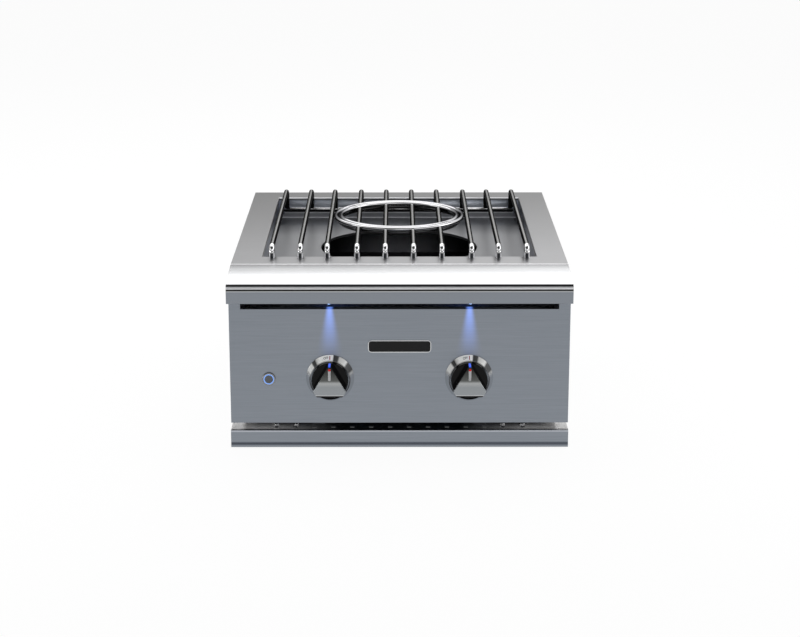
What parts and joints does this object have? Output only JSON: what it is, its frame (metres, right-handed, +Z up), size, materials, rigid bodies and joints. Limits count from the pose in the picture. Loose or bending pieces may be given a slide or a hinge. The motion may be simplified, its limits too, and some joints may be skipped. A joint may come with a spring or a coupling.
{
  "type": "power burner",
  "caption": "Built-in stainless power burner: rod grate with a two-ring wok centre over a deep burner well, rolled front nose, control panel with push-and-turn knobs and a lighted button.",
  "frame": {"origin": "centre of the bounding box's underside, on the plane the bottom pan stands on", "axes": "+X to the user's right, -Y out of the front panel towards the user, +Z up"},
  "size_m": [0.5588, 0.685, 0.3204],
  "materials": {
    "stainless_deck": "brushed stainless, grain across",
    "stainless_nose": "fine brushed stainless",
    "stainless_panel": "brushed stainless, grain across",
    "galvanised_sheet": "plain mill finish",
    "dark_tub": "heat-darkened black",
    "polished_rod": "polished stainless rod",
    "wok_chrome": "bright polished",
    "bezel_chrome": "bright polished",
    "knob_metal": "polished, dark flanks",
    "pointer_inlay": "light inlay",
    "cast_burner": "cast, matt",
    "tube_metal": "mill finish",
    "valve_brass": "machined",
    "spring_steel": "bright wire",
    "black_plastic": "moulded",
    "grey_plastic": "satin cap",
    "blue_ring": "translucent, lit",
    "lamp_lens": "clear dome",
    "rubber_ring": "moulded",
    "igniter_ceramic": "glazed",
    "screw_steel": "bright"
  },
  "bodies": {
    "cabinet": {"top_deck": "stainless_deck", "front_nose": "stainless_nose", "recess_pan": "stainless_deck", "burner_box": "dark_tub", "fascia": "stainless_panel", "bottom_pan": "stainless_panel", "left_side_panel": "galvanised_sheet", "right_side_panel": "galvanised_sheet", "rear_panel": "galvanised_sheet", "heat_shield": "galvanised_sheet", "lead_grommet": "rubber_ring", "left_bezel": "bezel_chrome", "right_bezel": "bezel_chrome", "left_valve_body": "valve_brass", "right_valve_body": "valve_brass", "left_orifice": "valve_brass", "right_orifice": "valve_brass", "left_mixer_tube": "tube_metal", "right_mixer_tube": "tube_metal", "left_air_shutter": "tube_metal", "right_air_shutter": "tube_metal", "left_manifold_bracket": "galvanised_sheet", "right_manifold_bracket": "galvanised_sheet", "gas_manifold": "tube_metal", "supply_pipe": "tube_metal", "gas_inlet": "valve_brass", "outer_burner_ring": "cast_burner", "inner_burner": "cast_burner", "burner_cradle": "galvanised_sheet", "igniter": "igniter_ceramic", "ignition_module": "black_plastic", "button_bezel": "bezel_chrome", "button_light_ring": "blue_ring", "button_nut": "valve_brass", "switch_body": "black_plastic", "light_bar": "black_plastic", "left_lamp": "lamp_lens", "right_lamp": "lamp_lens", "left_grate_rest": "stainless_deck", "right_grate_rest": "stainless_deck", "pan_screws": "screw_steel", "rear_panel_screws": "screw_steel"},
    "left_push": {"left_thrust_washer": "spring_steel", "left_return_spring": "spring_steel"},
    "left_knob_turn": {"left_knob": "knob_metal", "left_knob_pointer": "pointer_inlay", "left_valve_stem": "spring_steel"},
    "right_push": {"right_thrust_washer": "spring_steel", "right_return_spring": "spring_steel"},
    "right_knob_turn": {"right_knob": "knob_metal", "right_knob_pointer": "pointer_inlay", "right_valve_stem": "spring_steel"},
    "light_button": {"button_cap": "grey_plastic"},
    "main_grate": {"grate_rods": "polished_rod", "grate_cross_rod": "polished_rod", "grate_outer_ring": "wok_chrome", "grate_seat_ring": "polished_rod"},
    "centre_grate": {"centre_ring": "wok_chrome", "centre_rods": "polished_rod"}
  },
  "joints": [
    {"name": "left_push", "type": "slide", "parent": "cabinet", "child": "left_push", "axis": [0, 1, 0], "range_m": [0, 0.0035], "stiffness_N_per_m": 1200, "deforming": ["left_return_spring"]},
    {"name": "left_knob_turn", "type": "hinge", "parent": "left_push", "child": "left_knob_turn", "pos_m": [-0.1144, -0.3015, 0.1178], "axis": [0, -1, 0], "range_deg": [0, 210]},
    {"name": "right_push", "type": "slide", "parent": "cabinet", "child": "right_push", "axis": [0, 1, 0], "range_m": [0, 0.0035], "stiffness_N_per_m": 1200, "deforming": ["right_return_spring"]},
    {"name": "right_knob_turn", "type": "hinge", "parent": "right_push", "child": "right_knob_turn", "pos_m": [0.1144, -0.3015, 0.1178], "axis": [0, -1, 0], "range_deg": [0, 210]},
    {"name": "light_press", "type": "slide", "parent": "cabinet", "child": "light_button", "axis": [0, 1, 0], "range_m": [0, 0.002], "stiffness_N_per_m": 1200},
    {"name": "grate_lift", "type": "slide", "parent": "cabinet", "child": "main_grate", "axis": [0, 0, 1], "range_m": [0, 0.09]},
    {"name": "centre_lift", "type": "slide", "parent": "main_grate", "child": "centre_grate", "axis": [0, 0, 1], "range_m": [0, 0.06]}
  ]
}
